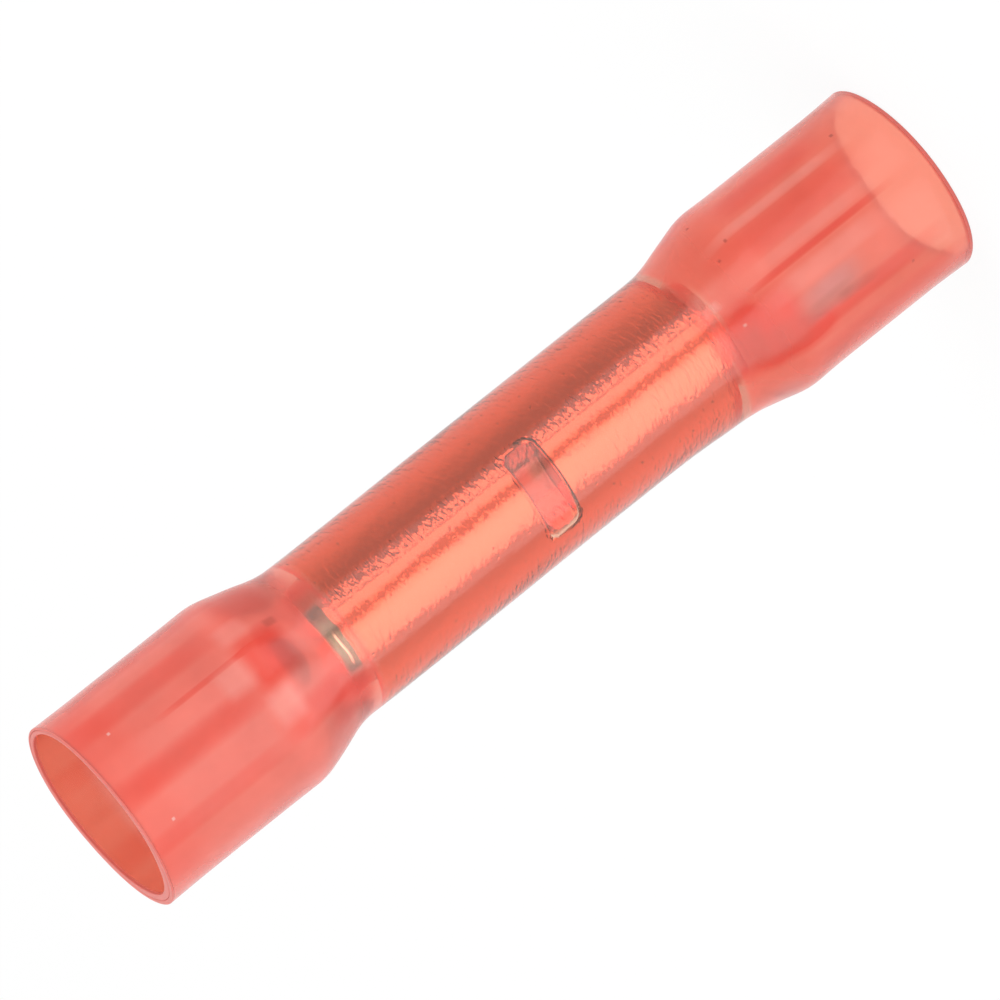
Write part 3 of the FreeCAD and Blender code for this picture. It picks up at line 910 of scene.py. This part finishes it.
def tent_cloth():
    """Glows by the steps above, less strongly beside the flares, and fades out at its top."""
    made, shader = material("tent_cloth")
    x, y, z = object_place(shader)
    turn = azimuth_of(shader, x, y) - CAMERA_AZIMUTH
    wrapped = shader.node("ShaderNodeMath", [turn, 180.0, -180.0], operation="WRAP")
    brightest = max(level for _, level in TENT_STEPS)
    steps = shader.node(
        "ShaderNodeValToRGB", [(wrapped + 180) / 360],
        stops=[(place / 360 + 0.5, (level / brightest,) * 3) for place, level in TENT_STEPS],
    )
    contrast = z.band(3.0, 6.0) * z.band(24.0, 21.0) * 0.5 + 0.5
    glow = shader.mix(contrast, (1 / brightest,) * 3, steps)
    cloth = shader.node("ShaderNodeEmission", {"Color": glow, "Strength": brightest})
    gone = shader.node("ShaderNodeBsdfTransparent", {"Color": (1, 1, 1, 1)})
    top = TENT_PROFILE[-1][1]
    there = z.band(top, top - 2)
    finish_material(shader, shader.node("ShaderNodeMixShader", {0: there, 1: gone, 2: cloth}))
    return made


def make_tent():
    """A round wall about the part, with a low skirt, that only mirrors and see-through faces show."""
    angle = even_angles(TENT_SIDES)
    rings = [
        np.column_stack([r * np.cos(angle), r * np.sin(angle), np.full(TENT_SIDES, z)])
        for r, z in TENT_PROFILE
    ]
    index = np.arange(TENT_SIDES)
    after = (index + 1) % TENT_SIDES
    faces = [
        np.column_stack([
            index + base, index + base + TENT_SIDES, after + base + TENT_SIDES, after + base,
        ])
        for base in (0, TENT_SIDES)
    ]
    mesh = bpy.data.meshes.new("tent")
    mesh.from_pydata((np.concatenate(rings) * MM).tolist(), [], np.concatenate(faces).tolist())
    mesh.materials.append(tent_cloth())
    tent = bpy.data.objects.new("tent", mesh)
    tent.visible_camera = tent.visible_diffuse = tent.visible_shadow = False
    bpy.context.scene.collection.objects.link(tent)


SOFTBOX_DISTANCE, SOFTBOX_SIZE = 0.4, 0.25

# Each softbox's azimuth from the camera's and its elevation in degrees, and its radiance
SOFTBOXES = {"key_softbox": (-50, 50, 2.0), "fill_softbox": (70, 40, 1.6)}


def make_softbox(name, azimuth, elevation, radiance):
    """A square panel that faces the part's middle. azimuth is its place round it, 0 at -Y.

    A panel's radiance is its power over pi times its area.
    """
    light = bpy.data.lights.new(name, "AREA")
    light.shape, light.size = "SQUARE", SOFTBOX_SIZE
    light.energy = radiance * math.pi * SOFTBOX_SIZE ** 2
    panel = bpy.data.objects.new(name, light)
    turn, rise = math.radians(azimuth), math.radians(elevation)
    out = Vector((math.sin(turn) * math.cos(rise), -math.cos(turn) * math.cos(rise), math.sin(rise)))
    panel.location = Vector((0, 0, SLEEVE_MIDDLE)) + out * SOFTBOX_DISTANCE
    panel.rotation_euler = out.to_track_quat("Z", "Y").to_euler()
    panel.visible_camera = False
    bpy.context.scene.collection.objects.link(panel)


def make_lights():
    for name, (azimuth, elevation, radiance) in SOFTBOXES.items():
        make_softbox(name, CAMERA_AZIMUTH + azimuth, elevation, radiance)


# The scene

BOND = clear_bond()
JACKET = red_jacket()
ADHESIVE = hot_melt()
METAL = tinned_copper()
WINDOW = clear_window()
EDGE = cut_edge()

for build, node, slot in (
    (make_jacket, "heat_shrink_jacket", "red_jacket"),
    (make_lining, "adhesive_liner", "clear_adhesive"),
    (make_barrel, "crimp_barrel", "tinned_copper"),
):
    piece = build()
    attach(piece, "root")
    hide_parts(node)

make_floor()
make_world()
make_tent()
make_lights()

settings = bpy.context.scene
settings.view_settings.view_transform = "Standard"
settings.cycles.transparent_max_bounces = 20
settings.cycles.transmission_bounces = 12
settings.cycles.max_bounces = 12
